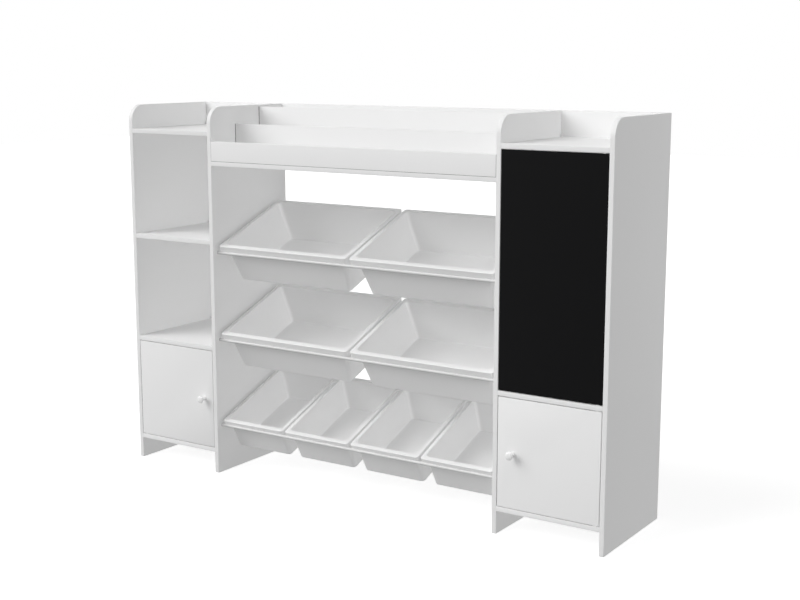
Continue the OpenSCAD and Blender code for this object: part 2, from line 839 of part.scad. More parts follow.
side_panel_left();
divider_left();
divider_right();
side_panel_right();
left_bottom_shelf();
left_lower_shelf();
left_upper_shelf();
left_tray_shelf();
left_back_board();
right_bottom_shelf();
right_lower_shelf();
right_inner_shelf();
right_tray_shelf();
right_back_board();
display_floor();
display_lip();
display_front_step();
display_rear_step();
display_back_board();
rail(0, false);  // front_rail_low
rail(1, false);  // front_rail_middle
rail(2, false);  // front_rail_high
rail(0, true);  // back_rail_low
rail(1, true);  // back_rail_middle
rail(2, true);  // back_rail_high
rail_inserts();
rail_bolts();
large_bin(2, 0);  // bin_high_left
large_bin(2, 1);  // bin_high_right
large_bin(1, 0);  // bin_middle_left
large_bin(1, 1);  // bin_middle_right
small_bin(0);  // bin_low_1
small_bin(1);  // bin_low_2
small_bin(2);  // bin_low_3
small_bin(3);  // bin_low_4
knob_door(left_opening);  // left_door
door_pins(left_opening);  // left_door_pins
knob(left_opening);  // left_knob
knob_screw(left_opening);  // left_knob_screw
strike_plate(left_opening);  // left_strike_plate
knob_door(right_opening);  // right_door
door_pins(right_opening);  // right_door_pins
knob(right_opening);  // right_knob
knob_screw(right_opening);  // right_knob_screw
strike_plate(right_opening);  // right_strike_plate
door_blank(chalk_opening, chalk_black);  // chalkboard_door
door_pins(chalk_opening);  // chalkboard_door_pins
strike_plate(chalk_opening);  // chalkboard_strike_plate
pivot_bushes();
catch_case(-1);  // left_catch
catch_case(1);  // right_catch
push_latch_case();
push_latch_plunger();
catch_screws();
cams();
cam_bolts();
dowels();
board_screws();
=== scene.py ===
# %% [markdown]
# # A children's bookshelf with a book display and lift-out bins
# The construction model gives every board, rail, bin and fitting at its real size and place.
# This lesson loads it as a fixed frame, then gives the pieces that show their real edges,
# lips and finishes. Everything is in metres: X runs to the right, Y to the back, Z up.

# %% Load the frame
import json
import math

import bmesh
import bpy
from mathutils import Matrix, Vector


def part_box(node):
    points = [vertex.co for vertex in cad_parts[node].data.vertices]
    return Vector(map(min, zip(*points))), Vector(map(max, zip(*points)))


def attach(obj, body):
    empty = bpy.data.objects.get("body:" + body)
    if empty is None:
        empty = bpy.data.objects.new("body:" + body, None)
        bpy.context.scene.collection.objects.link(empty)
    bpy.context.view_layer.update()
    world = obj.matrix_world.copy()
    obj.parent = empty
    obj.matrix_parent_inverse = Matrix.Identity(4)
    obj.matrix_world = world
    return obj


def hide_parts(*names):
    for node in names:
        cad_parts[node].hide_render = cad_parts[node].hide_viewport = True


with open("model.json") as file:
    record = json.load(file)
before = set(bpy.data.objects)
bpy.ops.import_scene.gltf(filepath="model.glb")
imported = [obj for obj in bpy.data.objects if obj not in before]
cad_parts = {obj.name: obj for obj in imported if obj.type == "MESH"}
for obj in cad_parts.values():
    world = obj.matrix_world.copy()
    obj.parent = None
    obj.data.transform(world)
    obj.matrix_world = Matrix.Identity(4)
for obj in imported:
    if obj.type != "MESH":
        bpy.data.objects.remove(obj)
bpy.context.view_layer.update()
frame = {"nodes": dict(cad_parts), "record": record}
nodes = frame["nodes"]
MM = 0.001
print("nodes in the frame:", len(nodes))

# %% [markdown]
# ## The camera
# The photograph was taken from the front right, a little above the bookshelf. A camera can be set
# by eye, but this one's place and lens come from a fit of the straight board edges, so that the
# render can be laid over the photograph.

# %% Set the camera
LOOKS_DOWN = 10.305  # degrees
TURNS_LEFT = 33.321
camera_data = bpy.data.cameras.new("photo_camera")
camera_data.sensor_fit = "HORIZONTAL"
camera_data.sensor_width = 36.0
camera_data.lens = 60.21
camera = bpy.data.objects.new("photo_camera", camera_data)
camera.location = (1.9354, -2.8354, 1.1297)
camera.rotation_euler = (math.radians(90 - LOOKS_DOWN), 0, math.radians(TURNS_LEFT))
bpy.context.scene.collection.objects.link(camera)
bpy.context.scene.camera = camera
print("camera stands", round(camera.location.z, 2), "m above the floor")

# %% [markdown]
# ## Working helpers
# Operators act on whatever is selected, so each step starts from an empty selection and picks
# its own edges or faces by their place. These helpers do that, and keep the later steps short.


# %% Make, pick and shade a piece
def only(piece):
    """Leaves just this piece selected and active."""
    bpy.ops.object.select_all(action="DESELECT")
    piece.select_set(True)
    bpy.context.view_layer.objects.active = piece


def new_piece(name, mesh):
    """Puts a mesh into the scene as a piece, selected and active."""
    piece = bpy.data.objects.new(name, mesh)
    bpy.context.scene.collection.objects.link(piece)
    only(piece)
    return piece


def pick(piece, kind, wanted):
    """In edit mode, selects each EDGE or FACE for which wanted is true, and counts them."""
    bpy.ops.mesh.select_mode(type=kind)
    bpy.ops.mesh.select_all(action="DESELECT")
    mesh = bmesh.from_edit_mesh(piece.data)
    mesh.verts.index_update()  # wanted may tell points by their number
    chosen = [part for part in (mesh.edges if kind == "EDGE" else mesh.faces) if wanted(part)]
    for part in chosen:
        part.select_set(True)
    mesh.select_flush_mode()
    bmesh.update_edit_mesh(piece.data)
    return len(chosen)


def shade(piece, degrees):
    """Smooths the shading across edges that fold less than this."""
    only(piece)
    bpy.ops.object.shade_smooth_by_angle(angle=math.radians(degrees))


# %% [markdown]
# ## Boards with eased edges
# Each board is laminated chipboard with a thin edge band, and its arrises are slightly rounded, so
# they catch a fine line of light. A board from the frame has perfectly sharp arrises. A new box
# would lose its drilled holes, so a copy of the frame's board is used, and only the arrises round
# its outline are bevelled, by less than a millimetre. An upright panel's outline runs round its
# rounded top front corner too.

# %% Ease the arrises of one board
CORNER_R = 43 * MM
MERGE = 0.01 * MM  # points closer than this are one point
NEAR = 0.05 * MM  # a point closer than this to an outer face of the board lies on it
ARC_NEAR = 0.2 * MM  # the same for the round corner, which is made of short straight edges
SHARP = math.radians(60)


def eased_board(node, width, rounded_corner=False):
    piece = new_piece(node + "_eased", nodes[node].data.copy())
    low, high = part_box(node)
    bpy.ops.mesh.customdata_custom_splitnormals_clear()
    bpy.ops.object.mode_set(mode="EDIT")
    bpy.ops.mesh.select_all(action="SELECT")
    bpy.ops.mesh.remove_doubles(threshold=MERGE)
    bpy.ops.mesh.dissolve_limited(angle_limit=math.radians(1))

    def planes(point):
        """The outer faces of the board that this point lies on."""
        found = set()
        for axis in range(3):
            if abs(point[axis] - low[axis]) < NEAR:
                found.add((axis, 0))
            if abs(point[axis] - high[axis]) < NEAR:
                found.add((axis, 1))
        if rounded_corner:
            y = point[1] - (low[1] + CORNER_R)
            z = point[2] - (high[2] - CORNER_R)
            if y < NEAR and z > -NEAR and abs(math.hypot(y, z) - CORNER_R) < ARC_NEAR:
                found.add(("arc", 0))
                if y > -NEAR:
                    found.add((2, 1))
                if z < NEAR:
                    found.add((1, 0))
        return found

    def on_outline(edge):
        if len(edge.link_faces) != 2 or edge.calc_face_angle(0) < SHARP:
            return False
        return len(planes(edge.verts[0].co) & planes(edge.verts[1].co)) >= 2

    count = pick(piece, "EDGE", on_outline)
    bpy.ops.mesh.bevel(
        offset=width, offset_type="OFFSET", segments=3, profile=0.6, clamp_overlap=False
    )
    bpy.ops.object.mode_set(mode="OBJECT")
    shade(piece, degrees=35)
    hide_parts(node)
    return piece, count


# %% Ease all the boards
PANEL_ARRIS = 0.7 * MM
BOARD_ARRIS = 0.6 * MM
PANELS = ["side_panel_left", "divider_left", "divider_right", "side_panel_right"]
OTHER_BOARDS = [
    "left_bottom_shelf", "left_lower_shelf", "left_upper_shelf", "left_tray_shelf",
    "left_back_board", "right_bottom_shelf", "right_lower_shelf", "right_inner_shelf",
    "right_tray_shelf", "right_back_board", "display_floor", "display_lip",
    "display_front_step", "display_rear_step", "display_back_board",
]
panels = []
for name in PANELS:
    piece, count = eased_board(name, PANEL_ARRIS, rounded_corner=True)
    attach(piece, "carcass")
    panels.append(piece)
    print(name, "arrises eased:", count)
other_boards = []
for name in OTHER_BOARDS:
    piece, count = eased_board(name, BOARD_ARRIS)
    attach(piece, "carcass")
    other_boards.append(piece)
    print(name, "arrises eased:", count)

# %% [markdown]
# ## Doors
# The three inset doors are boards too, cut a little smaller than their openings. They are eased in
# the same way as the other boards, and each one rides on its own hinged body.

# %% Ease the doors
doors = {}
for name in ["left_door", "right_door", "chalkboard_door"]:
    piece, count = eased_board(name, BOARD_ARRIS)
    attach(piece, name)
    doors[name] = piece
    print(name, "arrises eased:", count)

# %% [markdown]
# ## Knobs
# A knob is turned on a lathe, and spinning its profile round the axis copies that. The profile is
# a chain of points, from the foot on the door to the middle of the domed head. A cylinder could be
# scaled ring by ring instead, but a profile shows the neck and the swell of the head at once.

# %% Spin the knobs
KNOB_STEPS = 56
KNOB_PROFILE = [  # distance from the door and radius, in mm
    (0.0, 6.0), (0.6, 6.1), (1.4, 5.6), (4.0, 4.8), (7.5, 4.9), (11.0, 6.0), (14.0, 7.7),
    (16.6, 9.3), (18.6, 10.1), (20.2, 10.1), (21.6, 9.4), (22.8, 7.7), (23.5, 5.4), (23.9, 2.8),
    (24.0, 0.0),
]


def middle_of(low, high):
    return [(a + b) / 2 for a, b in zip(low, high)]


def face_outwards():
    """In edit mode, turns every face to the outside."""
    bpy.ops.mesh.select_all(action="SELECT")
    bpy.ops.mesh.normals_make_consistent(inside=False)


def apply_modifier(piece, modifier):
    only(piece)
    bpy.ops.object.modifier_apply(modifier=modifier.name)


def turned_knob(node):
    low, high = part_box(node)
    x, _, z = middle_of(low, high)
    door_y = high[1]
    points = [(x + radius * MM, door_y - away * MM, z) for away, radius in KNOB_PROFILE]
    mesh = bpy.data.meshes.new(node + "_turned")
    mesh.from_pydata(points, [(i, i + 1) for i in range(len(points) - 1)], [])
    piece = new_piece(node + "_turned", mesh)
    bpy.ops.object.mode_set(mode="EDIT")
    bpy.ops.mesh.select_all(action="SELECT")
    bpy.ops.mesh.spin(
        steps=KNOB_STEPS, angle=2 * math.pi, center=(x, door_y, z), axis=(0, 1, 0)
    )
    bpy.ops.mesh.select_all(action="SELECT")
    bpy.ops.mesh.remove_doubles(threshold=MERGE)
    pick(piece, "EDGE", lambda edge: edge.is_boundary)
    bpy.ops.mesh.edge_face_add()
    face_outwards()
    bpy.ops.object.mode_set(mode="OBJECT")
    smoother = piece.modifiers.new("smoother", "SUBSURF")
    smoother.levels = 1
    smoother.render_levels = 1
    apply_modifier(piece, smoother)
    shade(piece, degrees=50)
    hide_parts(node)
    return piece


knobs = []
for side in ["left", "right"]:
    knob = turned_knob(side + "_knob")
    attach(knob, side + "_door")
    knobs.append(knob)
print("knob faces:", len(knobs[0].data.polygons))

# %% [markdown]
# ## Rails
# The bins rest on thin steel tubes. A cylinder is added at each rail's size, and its end faces are
# inset and pushed in. That makes a tube whose wall is real where it shows, without the cost of a
# bore along the whole rail.

# %% Make the rails
TUBE_SIDES = 48
TUBE_WALL = 1.2 * MM
TUBE_DEPTH = 18 * MM
TOUCH = 0.1 * MM  # a point or face closer than this to a plane lies in it


def rail_tube(node):
    low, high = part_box(node)
    bpy.ops.object.select_all(action="DESELECT")
    bpy.ops.mesh.primitive_cylinder_add(
        vertices=TUBE_SIDES, radius=(high[2] - low[2]) / 2, depth=high[0] - low[0],
        location=middle_of(low, high), rotation=(0, math.pi / 2, 0),
    )
    piece = bpy.context.object
    piece.name = node + "_tube"
    bpy.ops.object.transform_apply(location=True, rotation=True, scale=True)
    bpy.ops.object.mode_set(mode="EDIT")
    for end, inward in ((low[0], TUBE_DEPTH), (high[0], -TUBE_DEPTH)):
        pick(piece, "FACE", lambda face: abs(face.calc_center_median()[0] - end) < TOUCH)
        bpy.ops.mesh.inset(thickness=TUBE_WALL)
        bpy.ops.mesh.extrude_region_move(TRANSFORM_OT_translate={"value": (inward, 0, 0)})
    bpy.ops.object.mode_set(mode="OBJECT")
    shade(piece, degrees=40)
    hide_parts(node)
    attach(piece, "carcass")
    return piece


rails = [
    rail_tube(place + "_rail_" + height)
    for place in ("front", "back") for height in ("low", "middle", "high")
]
print("rails:", len(rails))

# %% [markdown]
# ## Bins
# A bin is one moulded sheet of plastic: a rim turned down round the outside, with a small step
# under its edge, a soft lip, leaning walls with round corners, and a floor. It is drawn lying flat
# as six outlines, each a plane whose corners are rounded, and neighbouring outlines are bridged.
# The lip, the rim's edge and the foot of the wall are then bevelled, and Solidify gives the sheet
# its thickness, below and outside. Extruding a box inwards would be quicker, but the round corners
# would not follow the lean of the walls.

# %% Sizes of the bins and their rails
RAIL_RUN, RAIL_RISE = 261, 101  # mm from a front rail to its back rail, backwards and up
SLOPE = math.atan2(RAIL_RISE, RAIL_RUN)
RIM_PAST = 1 * MM  # the rim reaches this far past the middle of both rails
RIM_L = math.hypot(RAIL_RUN, RAIL_RISE) * MM + 2 * RIM_PAST
FRONT_RAIL_Y = -0.127
LOW_RAIL_Z = 0.1337
ROW_PITCH = 0.239
RAIL_R = 4.5 * MM
SEAT = 0.3 * MM
BIN_SIZES = {
    "large": {"w": 417.95 * MM, "rim": 10 * MM, "depth": 112 * MM, "skirt": 15.4 * MM,
              "side_lean": 18 * MM},
    "small": {"w": 206 * MM, "rim": 8 * MM, "depth": 94.5 * MM, "skirt": 11 * MM,
              "side_lean": 3.5 * MM},
}
WALL = 2 * MM
END_LEAN = 9 * MM
END_RIM = 3 * MM
RIM_STEP = 0.9 * MM
RIM_EDGE = 3.2 * MM
SKIRT_CORNER = 7 * MM
RIM_CORNER = 8 * MM
LIP_CORNER = 10 * MM
FOOT_CORNER = 9 * MM
CORNER_STEPS = 8
print("the bins lean", round(math.degrees(SLOPE), 1), "degrees")


# %% Draw one bin lying flat
def add_outline(inset_x, inset_y, width, z, radius):
    """In edit mode, adds one round-cornered outline and leaves it without a face."""
    bpy.ops.mesh.select_all(action="DESELECT")
    bpy.ops.mesh.primitive_plane_add(size=1, location=(width / 2, RIM_L / 2, z))
    bpy.ops.transform.resize(
        value=(width - 2 * inset_x, RIM_L - 2 * inset_y, 1),
        center_override=(width / 2, RIM_L / 2, z),
    )
    bpy.ops.mesh.bevel(
        offset=radius, segments=CORNER_STEPS, affect="VERTICES", clamp_overlap=False
    )
    bpy.ops.mesh.delete(type="ONLY_FACE")


def near_z(edge, z):
    return all(abs(point.co.z - z) < TOUCH for point in edge.verts)


def flat_bin(name, size, lip, floor):
    """Leaves the bin's single sheet in edit mode. lip is the rim's width, floor its depth."""
    sheet = new_piece(name, bpy.data.meshes.new(name))
    bpy.ops.object.mode_set(mode="EDIT")
    bpy.ops.mesh.select_mode(type="VERT")
    outlines = [  # inset from the sides, inset from the ends, height, corner radius
        (RIM_STEP, RIM_STEP, -size["skirt"], SKIRT_CORNER),
        (RIM_STEP, RIM_STEP, -RIM_EDGE, SKIRT_CORNER),
        (0, 0, -RIM_EDGE, RIM_CORNER),
        (0, 0, 0, RIM_CORNER),
        (lip, lip + END_RIM, 0, LIP_CORNER),
        (lip + size["side_lean"], lip + END_RIM + END_LEAN, -floor, FOOT_CORNER),
    ]
    for inset_x, inset_y, z, radius in outlines:
        add_outline(inset_x, inset_y, size["w"], z, radius)
    points_each = 4 * (CORNER_STEPS + 1)
    for first in range(len(outlines) - 1):

        def of_this_pair(edge):
            one, other = (point.index // points_each for point in edge.verts)
            return one == other and one in (first, first + 1)

        pick(sheet, "EDGE", of_this_pair)
        bpy.ops.mesh.bridge_edge_loops()
    pick(sheet, "EDGE", lambda edge: edge.is_boundary and near_z(edge, -floor))
    bpy.ops.mesh.edge_face_add()
    face_outwards()
    return sheet


# %% Round the bin's edges and give the sheet its thickness
FOLD = 0.5  # radians between two faces that meet in an edge worth rounding
SHARP_FOLD = 1.0
SLACK = 0.2 * MM
FOOT_ROUND = 2.6 * MM
LIP_ROUND = 1.6 * MM
RIM_ROUND = 1.2 * MM


def round_edges(width, steps):
    bpy.ops.mesh.bevel(offset=width, offset_type="OFFSET", segments=steps, clamp_overlap=False)


def moulded_bin(name, size):
    lip = size["rim"] + WALL
    floor = size["depth"] - WALL
    piece = flat_bin(name, size, lip, floor)

    def folds(edge, z, least):
        return near_z(edge, z) and edge.calc_face_angle(0) > least

    def on_lip(edge):
        inside = all(
            lip - SLACK < point.co.x < size["w"] - lip + SLACK and lip < point.co.y < RIM_L - lip
            for point in edge.verts
        )
        return inside and folds(edge, 0, FOLD)

    pick(piece, "EDGE", lambda edge: folds(edge, -floor, FOLD))
    round_edges(FOOT_ROUND, 5)
    pick(piece, "EDGE", on_lip)
    round_edges(LIP_ROUND, 5)
    pick(piece, "EDGE", lambda edge: folds(edge, 0, SHARP_FOLD) and not on_lip(edge))
    round_edges(RIM_ROUND, 3)
    bpy.ops.object.mode_set(mode="OBJECT")
    sheet = piece.modifiers.new("sheet", "SOLIDIFY")
    sheet.thickness = WALL
    # The wall goes below and outside, whichever way the open sheet's faces were turned
    floor_face = max(piece.data.polygons, key=lambda face: face.area)
    sheet.offset = -1 if floor_face.normal.z > 0 else 1
    sheet.use_even_offset = True
    apply_modifier(piece, sheet)
    bpy.ops.object.mode_set(mode="EDIT")
    face_outwards()
    bpy.ops.object.mode_set(mode="OBJECT")
    shade(piece, degrees=32)
    return piece


# %% Set the bins on their rails
BIN_PLACES = [  # node, size, row counted from the lowest
    ("bin_high_left", "large", 2), ("bin_high_right", "large", 2),
    ("bin_middle_left", "large", 1), ("bin_middle_right", "large", 1),
    ("bin_low_1", "small", 0), ("bin_low_2", "small", 0),
    ("bin_low_3", "small", 0), ("bin_low_4", "small", 0),
]


def seat_bin(piece, row, left, skirt):
    """Moves a flat bin to its slope: rim square to the rails, skirt a hair above them."""
    up = RAIL_R + SEAT + skirt
    y = -RIM_PAST * math.cos(SLOPE) - up * math.sin(SLOPE)
    z = -RIM_PAST * math.sin(SLOPE) + up * math.cos(SLOPE)
    piece.rotation_euler = (SLOPE, 0, 0)
    piece.location = (left, FRONT_RAIL_Y + y, LOW_RAIL_Z + row * ROW_PITCH + z)
    only(piece)
    bpy.ops.object.transform_apply(location=True, rotation=True, scale=True)


patterns = {kind: moulded_bin(kind + "_bin_pattern", size) for kind, size in BIN_SIZES.items()}
bins = []
for node, kind, row in BIN_PLACES:
    piece = new_piece(node + "_moulded", patterns[kind].data.copy())
    seat_bin(piece, row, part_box(node)[0][0], BIN_SIZES[kind]["skirt"])
    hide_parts(node)
    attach(piece, node)
    bins.append(piece)
for pattern in patterns.values():
    bpy.data.objects.remove(pattern)
print("bin faces:", len(bins[0].data.polygons), "to", len(bins[-1].data.polygons))

# %% [markdown]
# ## Effects that several finishes share
# Each effect is a node group with its own inputs, built once and placed in every finish that needs
# it with other values. The next cells build five of them. First come short helpers that add a node
# and feed its sockets, because a node tree written link by link is hard to read.


# %% Node helpers
def feed(tree, value, socket):
    """Links a socket to another one, or sets its value."""
    if isinstance(value, bpy.types.NodeSocket):
        tree.links.new(value, socket)
    else:
        socket.default_value = value


def add(tree, kind, fed=(), **settings):
    """Adds a node with its settings. fed is a list of (socket, value) pairs."""
    node = tree.nodes.new(kind)
    for key, value in settings.items():
        setattr(node, key, value)
    for label, value in fed:
        feed(tree, value, node.inputs[label])
    return node


def reckon(tree, operation, *values):
    """The result of a Math node. Each value is a number or a socket."""
    return add(tree, "ShaderNodeMath", enumerate(values), operation=operation).outputs[0]


def mix_colors(tree, factor, first, second, blend_type="MIX"):
    fed = (("Factor", factor), ("A", first), ("B", second))
    node = add(tree, "ShaderNodeMix", fed, data_type="RGBA", blend_type=blend_type)
    return node.outputs["Result"]


def split(tree, vector):
    """The X, Y and Z of a vector."""
    return add(tree, "ShaderNodeSeparateXYZ", [("Vector", vector)]).outputs


def object_place(tree):
    """Object coordinates: each piece's own metres."""
    return add(tree, "ShaderNodeTexCoord").outputs["Object"]


def object_noise(tree, scale, detail):
    fed = (("Vector", object_place(tree)), ("Scale", scale), ("Detail", detail))
    return add(tree, "ShaderNodeTexNoise", fed).outputs["Fac"]


def new_group(name, inputs, outputs):
    """A node group with what goes in (label, kind, usual value) and what comes out."""
    group = bpy.data.node_groups.new(name, "ShaderNodeTree")
    for label, kind, value in inputs:
        socket = group.interface.new_socket(
            name=label, in_out="INPUT", socket_type="NodeSocket" + kind
        )
        socket.default_value = value
    for label, kind in outputs:
        group.interface.new_socket(
            name=label, in_out="OUTPUT", socket_type="NodeSocket" + kind
        )
    given = group.nodes.new("NodeGroupInput").outputs
    result = group.nodes.new("NodeGroupOutput").inputs
    return group, given, result


# %% [markdown]
# ### Mottle
# No real surface has one exact colour. A slow noise, read in the piece's own metres, makes the
# colour a little lighter and darker, and its value is also used to vary the roughness.

# %% Build the mottle
mottle, given, result = new_group(
    "surface_mottle",
    [("Color", "Color", (1, 1, 1, 1)), ("Scale", "Float", 6.0), ("Amount", "Float", 0.02)],
    [("Color", "Color"), ("Value", "Float")],
)
cloud = object_noise(mottle, given["Scale"], 3.0)
change = reckon(mottle, "MULTIPLY", reckon(mottle, "SUBTRACT", cloud, 0.5), given["Amount"])
lightness = reckon(mottle, "ADD", change, 1.0)
varied = mix_colors(mottle, 1.0, given["Color"], lightness, blend_type="MULTIPLY")
feed(mottle, varied, result["Color"])
feed(mottle, cloud, result["Value"])
print("built", mottle.name)

# %% [markdown]
# ### Fine texture
# Melamine, moulded plastic and powder coat all have a fine skin. A small noise gives its height,
# which a Bump node turns into shading. Real displacement would need far more faces.

# %% Build the fine texture
texture, given, result = new_group(
    "fine_texture", [("Scale", "Float", 400.0), ("Depth", "Float", 0.5)], [("Height", "Float")]
)
pebbles = object_noise(texture, given["Scale"], 2.0)
feed(texture, reckon(texture, "MULTIPLY", pebbles, given["Depth"]), result["Height"])
print("built", texture.name)

# %% [markdown]
# ### Joint line
# ### Joint shade
# Where a board of the book display butts against a divider, a dark hairline of painted shade
# shows the seam. A real gap would change the frame, so the shade is painted: a mask that is 1
# inside a box, given by its centre and half size. X is taken without its sign, so one box serves
# the left and the right end.

# %% Build the painted joint shade
joint, given, result = new_group(
    "joint_shade_line", [("Centre", "Vector", (0, 0, 0)), ("Half", "Vector", (1, 1, 1))],
    [("Mask", "Float")],
)
point = split(joint, object_place(joint))
centre = split(joint, given["Centre"])
half = split(joint, given["Half"])
past = []
for axis in "XYZ":
    where = reckon(joint, "ABSOLUTE", point[axis]) if axis == "X" else point[axis]
    away = reckon(joint, "ABSOLUTE", reckon(joint, "SUBTRACT", where, centre[axis]))
    past.append(reckon(joint, "SUBTRACT", away, half[axis]))
farthest = reckon(joint, "MAXIMUM", past[2], reckon(joint, "MAXIMUM", past[1], past[0]))
feed(joint, reckon(joint, "LESS_THAN", farthest, 0.0), result["Mask"])
print("built", joint.name)

# %% [markdown]
# ### Dust
# A trace of dust settles on faces that look up. The height of the normal finds those faces, and a
# noise makes the dust patchy.

# %% Build the dust
dust, given, result = new_group(
    "settled_dust", [("Scale", "Float", 30.0), ("Amount", "Float", 0.1)], [("Mask", "Float")]
)
height = split(dust, add(dust, "ShaderNodeNewGeometry").outputs["Normal"])["Z"]
upward = add(
    dust, "ShaderNodeMapRange", (("Value", height), ("From Min", 0.4), ("From Max", 1.0))
)
specks = object_noise(dust, given["Scale"], 5.0)
patches = reckon(dust, "MULTIPLY", upward.outputs["Result"], specks)
feed(dust, reckon(dust, "MULTIPLY", patches, given["Amount"]), result["Mask"])
print("built", dust.name)

# %% [markdown]
# ### Painted shade in narrow gaps
# Narrow gaps, such as those between two bins or round a door, get painted shade: an occlusion
# node finds the places that are closed in within 2 cm, and their colour is mixed towards a dark
# grey.

# %% Build the painted gap shade
# The dark grey that the painted shade in narrow gaps mixes towards
SHADE_GREY = (0.03, 0.03, 0.03, 1)
gap_shade_nodes, given, result = new_group(
    "narrow_gap_shade",
    [("Color", "Color", (1, 1, 1, 1)), ("Reach", "Float", 0.02), ("Depth", "Float", 0.5)],
    [("Color", "Color")],
)
open_air = add(
    gap_shade_nodes, "ShaderNodeAmbientOcclusion", [("Distance", given["Reach"])], samples=12
).outputs["AO"]
narrow = add(
    gap_shade_nodes, "ShaderNodeMapRange", (("Value", open_air), ("From Min", 0.45), ("From Max", 0.10))
).outputs["Result"]
depth = reckon(gap_shade_nodes, "MULTIPLY", narrow, given["Depth"])
feed(gap_shade_nodes, mix_colors(gap_shade_nodes, depth, given["Color"], SHADE_GREY), result["Color"])
print("built", gap_shade_nodes.name)

# %% [markdown]
# ## Finishes
# Every finish has a slightly varied colour, a roughness that varies with it and a bump at the
# scale of the real skin. The numbers are what tells melamine board from moulded plastic, powder
# coat and chalkboard paint. An image of each surface could serve instead, but it would be blurred
# close up. The upright panels have the same melamine as the other boards, with more painted shade,
# which darkens them in the narrow gaps beside the doors and the bins.


# %% Build a finish from the shared effects
DUST_COLOR = (0.8, 0.8, 0.78, 1)
BUMP_HEIGHT = 0.4 * MM


def finish(name, color, vary, vary_scale, rough, rough_vary, grain_scale, grain_depth, bump,
           dusty=0.0, metallic=0.0, coat=0.0, specular=0.5, painted_shade=0.0):
    material = bpy.data.materials.new(name)
    material.use_nodes = True
    tree = material.node_tree
    surface = tree.nodes["Principled BSDF"].inputs

    def place(effect, *fed):
        return add(tree, "ShaderNodeGroup", fed, node_tree=effect).outputs

    base = place(mottle, ("Color", (*color, 1)), ("Scale", vary_scale), ("Amount", vary))
    shown = base["Color"]
    if dusty:
        shown = mix_colors(tree, place(dust, ("Amount", dusty))["Mask"], shown, DUST_COLOR)
    # Painted shade: narrow gaps are darkened towards a dark grey
    if painted_shade:
        shown = place(gap_shade_nodes, ("Color", shown), ("Depth", painted_shade))["Color"]
    dulled = add(
        tree, "ShaderNodeMapRange",
        (("Value", base["Value"]), ("To Min", rough - rough_vary), ("To Max", rough + rough_vary)),
    )
    grain = place(texture, ("Scale", grain_scale), ("Depth", grain_depth))
    raised = add(
        tree, "ShaderNodeBump",
        (("Height", grain["Height"]), ("Strength", bump), ("Distance", BUMP_HEIGHT)),
    )
    feed(tree, shown, surface["Base Color"])
    feed(tree, dulled.outputs["Result"], surface["Roughness"])
    feed(tree, raised.outputs["Normal"], surface["Normal"])
    feed(tree, metallic, surface["Metallic"])
    feed(tree, coat, surface["Coat Weight"])
    feed(tree, specular, surface["Specular IOR Level"])
    return material


# %% Mix the finishes
WHITE = (0.76, 0.76, 0.76)
MELAMINE = dict(
    color=WHITE, vary=0.015, vary_scale=7, rough=0.46, rough_vary=0.05,
    grain_scale=900, grain_depth=0.5, bump=0.10, dusty=0.02, specular=0.25,
)
FITTING = dict(
    vary_scale=40, rough=0.45, rough_vary=0.05, grain_scale=1600, grain_depth=0.5, bump=0.12
)
FINISHES = {
    # The uprights get more painted shade in the gaps beside the doors and the bins
    "white_board": finish("white_melamine", **MELAMINE, painted_shade=0.15),
    "upright_panel": finish("white_melamine_upright", **MELAMINE, painted_shade=0.75),
    "bin_plastic": finish(
        "moulded_white", WHITE, vary=0.012, vary_scale=11, rough=0.34, rough_vary=0.04,
        grain_scale=1400, grain_depth=0.5, bump=0.12, dusty=0.02, painted_shade=0.75,
    ),
    "rail_paint": finish(
        "white_powder_coat", (0.58, 0.58, 0.58), vary=0.01, vary_scale=20, rough=0.36,
        rough_vary=0.04, grain_scale=1100, grain_depth=0.6, bump=0.20, painted_shade=0.6,
    ),
    "chalkboard": finish(
        "chalkboard_paint", (0.0040, 0.0040, 0.0043), vary=0.5, vary_scale=14, rough=0.66,
        rough_vary=0.08, grain_scale=1500, grain_depth=0.8, bump=0.25, specular=0.05,
    ),
    "knob_paint": finish(
        "gloss_lacquer", WHITE, vary=0.008, vary_scale=30, rough=0.24, rough_vary=0.03,
        grain_scale=500, grain_depth=0.3, bump=0.05, coat=0.3,
    ),
    "fitting_plastic": finish("white_fitting", (0.76, 0.76, 0.75), vary=0.02, **FITTING),
    "dark_plastic": finish("black_fitting", (0.025, 0.025, 0.027), vary=0.1, **FITTING),
    "dowel_wood": finish(
        "bare_beech", (0.60, 0.43, 0.26), vary=0.25, vary_scale=60, rough=0.62,
        rough_vary=0.06, grain_scale=300, grain_depth=0.8, bump=0.25,
    ),
    "zinc": finish(
        "zinc_plate", (0.60, 0.61, 0.63), vary=0.10, vary_scale=80, rough=0.34,
        rough_vary=0.08, grain_scale=900, grain_depth=0.4, bump=0.10, metallic=1.0,
    ),
}
print("finishes:", sorted(FINISHES))

# %% Paint the shade lines into the joints of the book display
# The near black of the painted shade in the seams
JOINT_SHADE_COLOR = (0.06, 0.06, 0.06, 1)
LINE_WIDTHS = {
    "display_lip": 0.6 * MM, "display_front_step": 1.7 * MM, "display_rear_step": 1.7 * MM
}
PROUD = 0.1 * MM  # a line's box stands past the board's faces, so that they lie inside it
SEAM_DEPTH = 2 * MM
SEAM_HALF = 0.45 * MM


# Painted shade: each box darkens the board's colour to a near-black hairline at a seam
def paint_joint_shade(material, lines):
    tree = material.node_tree
    base_color = tree.nodes["Principled BSDF"].inputs["Base Color"]
    shown = base_color.links[0].from_socket
    for centre, half in lines:
        fed = (("Centre", centre), ("Half", half))
        line = add(tree, "ShaderNodeGroup", fed, node_tree=joint)
        shown = mix_colors(tree, line.outputs["Mask"], shown, JOINT_SHADE_COLOR)
    feed(tree, shown, base_color)


